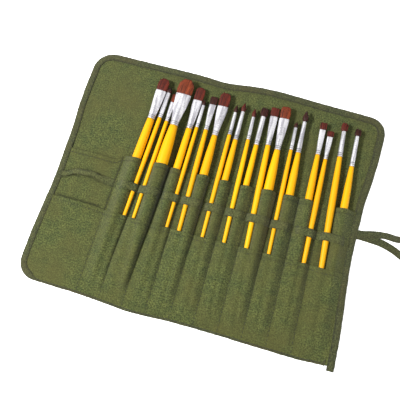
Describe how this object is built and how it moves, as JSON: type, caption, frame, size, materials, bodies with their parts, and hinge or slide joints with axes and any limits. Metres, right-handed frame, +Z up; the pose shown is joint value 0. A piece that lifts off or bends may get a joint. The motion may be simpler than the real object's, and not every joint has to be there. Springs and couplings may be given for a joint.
{
  "type": "brush roll case",
  "caption": "Flat canvas roll case with two tiers of narrow pockets, a loop band and tie straps, laid open with its paint brushes in place.",
  "frame": {"origin": "centre of the open case's outline, on the surface that it lies on", "axes": "+X along the long side toward the ties, +Y toward the brush heads, +Z up, out of the pocket side"},
  "size_m": [0.423, 0.275, 0.0146],
  "materials": {
    "canvas": "olive green cotton canvas, worn",
    "strap": "olive green canvas strap",
    "brush_handle": "glossy yellow lacquer; the ferrule and the hair are separate pieces in the visual model"
  },
  "bodies": {
    "tie_end": {"panel_00": "canvas", "upper_pocket_10": "canvas", "lower_pocket_10": "canvas", "tie_upper": "strap", "tie_lower": "strap"},
    "column_09": {"panel_01": "canvas", "upper_pocket_09": "canvas", "lower_pocket_09": "canvas"},
    "column_08": {"panel_02": "canvas", "upper_pocket_08": "canvas", "lower_pocket_08": "canvas"},
    "column_07": {"panel_03": "canvas", "upper_pocket_07": "canvas", "lower_pocket_07": "canvas"},
    "column_06": {"panel_04": "canvas", "upper_pocket_06": "canvas", "lower_pocket_06": "canvas"},
    "column_05": {"panel_05": "canvas", "upper_pocket_05": "canvas", "lower_pocket_05": "canvas"},
    "column_04": {"panel_06": "canvas", "upper_pocket_04": "canvas", "lower_pocket_04": "canvas"},
    "column_03": {"panel_07": "canvas", "upper_pocket_03": "canvas", "lower_pocket_03": "canvas"},
    "column_02": {"panel_08": "canvas", "upper_pocket_02": "canvas", "lower_pocket_02": "canvas"},
    "column_01": {"panel_09": "canvas", "upper_pocket_01": "canvas", "lower_pocket_01": "canvas"},
    "flap_inner": {"panel_10": "canvas", "wide_upper_0": "canvas", "wide_lower_0": "canvas", "band_free_0": "canvas"},
    "flap_outer": {"panel_11": "canvas", "wide_upper_1": "canvas", "wide_lower_1": "canvas", "band_free_1": "canvas"},
    "brush_01": {"brush_01": "brush_handle"},
    "brush_02": {"brush_02": "brush_handle"},
    "brush_03": {"brush_03": "brush_handle"},
    "brush_04": {"brush_04": "brush_handle"},
    "brush_05": {"brush_05": "brush_handle"},
    "brush_06": {"brush_06": "brush_handle"},
    "brush_07": {"brush_07": "brush_handle"},
    "brush_08": {"brush_08": "brush_handle"},
    "brush_09": {"brush_09": "brush_handle"},
    "brush_10": {"brush_10": "brush_handle"},
    "brush_11": {"brush_11": "brush_handle"},
    "brush_12": {"brush_12": "brush_handle"},
    "brush_13": {"brush_13": "brush_handle"},
    "brush_14": {"brush_14": "brush_handle"},
    "brush_15": {"brush_15": "brush_handle"},
    "brush_16": {"brush_16": "brush_handle"},
    "brush_17": {"brush_17": "brush_handle"},
    "brush_18": {"brush_18": "brush_handle"},
    "brush_19": {"brush_19": "brush_handle"},
    "brush_20": {"brush_20": "brush_handle"}
  },
  "joints": [
    {"name": "fold_00", "type": "hinge", "parent": "tie_end", "child": "column_09", "pos_m": [0.114, 0, 0.0045], "axis": [0, 1, 0], "range_deg": [0, 31]},
    {"name": "fold_01", "type": "hinge", "parent": "column_09", "child": "column_08", "pos_m": [0.0906, 0, 0.0045], "axis": [0, 1, 0], "range_deg": [0, 33]},
    {"name": "fold_02", "type": "hinge", "parent": "column_08", "child": "column_07", "pos_m": [0.0682, 0, 0.0045], "axis": [0, 1, 0], "range_deg": [0, 34]},
    {"name": "fold_03", "type": "hinge", "parent": "column_07", "child": "column_06", "pos_m": [0.0436, 0, 0.0045], "axis": [0, 1, 0], "range_deg": [0, 35]},
    {"name": "fold_04", "type": "hinge", "parent": "column_06", "child": "column_05", "pos_m": [0.022, 0, 0.0045], "axis": [0, 1, 0], "range_deg": [0, 37]},
    {"name": "fold_05", "type": "hinge", "parent": "column_05", "child": "column_04", "pos_m": [0.0004, 0, 0.0045], "axis": [0, 1, 0], "range_deg": [0, 38]},
    {"name": "fold_06", "type": "hinge", "parent": "column_04", "child": "column_03", "pos_m": [-0.0243, 0, 0.0045], "axis": [0, 1, 0], "range_deg": [0, 38]},
    {"name": "fold_07", "type": "hinge", "parent": "column_03", "child": "column_02", "pos_m": [-0.0416, 0, 0.0045], "axis": [0, 1, 0], "range_deg": [0, 40]},
    {"name": "fold_08", "type": "hinge", "parent": "column_02", "child": "column_01", "pos_m": [-0.066, 0, 0.0045], "axis": [0, 1, 0], "range_deg": [0, 42]},
    {"name": "fold_09", "type": "hinge", "parent": "column_01", "child": "flap_inner", "pos_m": [-0.092, 0, 0.0045], "axis": [0, 1, 0], "range_deg": [0, 95]},
    {"name": "fold_10", "type": "hinge", "parent": "flap_inner", "child": "flap_outer", "pos_m": [-0.1225, 0, 0.0045], "axis": [0, 1, 0], "range_deg": [0, 85]},
    {"name": "brush_01_slide", "type": "slide", "parent": "column_01", "child": "brush_01", "axis": [0.0436, 0.9989, 0.0192], "range_m": [0, 0.115]},
    {"name": "brush_02_slide", "type": "slide", "parent": "column_01", "child": "brush_02", "axis": [0.0384, 0.9992, 0.0092], "range_m": [0, 0.065]},
    {"name": "brush_03_slide", "type": "slide", "parent": "column_02", "child": "brush_03", "axis": [0.0227, 0.9997, 0.0092], "range_m": [0, 0.065]},
    {"name": "brush_04_slide", "type": "slide", "parent": "column_02", "child": "brush_04", "axis": [0.007, 0.9996, 0.0256], "range_m": [0, 0.115]},
    {"name": "brush_05_slide", "type": "slide", "parent": "column_03", "child": "brush_05", "axis": [0.0035, 0.9999, 0.0154], "range_m": [0, 0.115]},
    {"name": "brush_06_slide", "type": "slide", "parent": "column_03", "child": "brush_06", "axis": [-0.0052, 1, 0.0084], "range_m": [0, 0.065]},
    {"name": "brush_07_slide", "type": "slide", "parent": "column_04", "child": "brush_07", "axis": [-0.0314, 0.9994, 0.0109], "range_m": [0, 0.065]},
    {"name": "brush_08_slide", "type": "slide", "parent": "column_04", "child": "brush_08", "axis": [-0.0122, 0.9998, 0.0184], "range_m": [0, 0.115]},
    {"name": "brush_09_slide", "type": "slide", "parent": "column_05", "child": "brush_09", "axis": [-0.0262, 0.9996, 0.0094], "range_m": [0, 0.065]},
    {"name": "brush_10_slide", "type": "slide", "parent": "column_05", "child": "brush_10", "axis": [-0.0244, 0.9996, 0.0141], "range_m": [0, 0.115]},
    {"name": "brush_11_slide", "type": "slide", "parent": "column_06", "child": "brush_11", "axis": [-0.0471, 0.9988, 0.0098], "range_m": [0, 0.065]},
    {"name": "brush_12_slide", "type": "slide", "parent": "column_06", "child": "brush_12", "axis": [-0.0262, 0.9996, 0.0128], "range_m": [0, 0.115]},
    {"name": "brush_13_slide", "type": "slide", "parent": "column_07", "child": "brush_13", "axis": [-0.0628, 0.998, 0.0123], "range_m": [0, 0.065]},
    {"name": "brush_14_slide", "type": "slide", "parent": "column_07", "child": "brush_14", "axis": [-0.0454, 0.9988, 0.0201], "range_m": [0, 0.115]},
    {"name": "brush_15_slide", "type": "slide", "parent": "column_08", "child": "brush_15", "axis": [-0.0523, 0.9986, 0.0092], "range_m": [0, 0.065]},
    {"name": "brush_16_slide", "type": "slide", "parent": "column_08", "child": "brush_16", "axis": [-0.0558, 0.9983, 0.0171], "range_m": [0, 0.115]},
    {"name": "brush_17_slide", "type": "slide", "parent": "column_09", "child": "brush_17", "axis": [-0.0523, 0.9985, 0.0154], "range_m": [0, 0.115]},
    {"name": "brush_18_slide", "type": "slide", "parent": "column_09", "child": "brush_18", "axis": [-0.0454, 0.9989, 0.0111], "range_m": [0, 0.065]},
    {"name": "brush_19_slide", "type": "slide", "parent": "tie_end", "child": "brush_19", "axis": [-0.0802, 0.9967, 0.0135], "range_m": [0, 0.065]},
    {"name": "brush_20_slide", "type": "slide", "parent": "tie_end", "child": "brush_20", "axis": [-0.0576, 0.9982, 0.0162], "range_m": [0, 0.115]}
  ],
  "couplings": [
    {"joint": "fold_01", "follows": "fold_00", "ratio": 1.0645},
    {"joint": "fold_02", "follows": "fold_00", "ratio": 1.0968},
    {"joint": "fold_03", "follows": "fold_00", "ratio": 1.129},
    {"joint": "fold_04", "follows": "fold_00", "ratio": 1.1935},
    {"joint": "fold_05", "follows": "fold_00", "ratio": 1.2258},
    {"joint": "fold_06", "follows": "fold_00", "ratio": 1.2258},
    {"joint": "fold_07", "follows": "fold_00", "ratio": 1.2903},
    {"joint": "fold_08", "follows": "fold_00", "ratio": 1.3548},
    {"joint": "fold_09", "follows": "fold_00", "ratio": 3.0645},
    {"joint": "fold_10", "follows": "fold_00", "ratio": 2.7419}
  ]
}
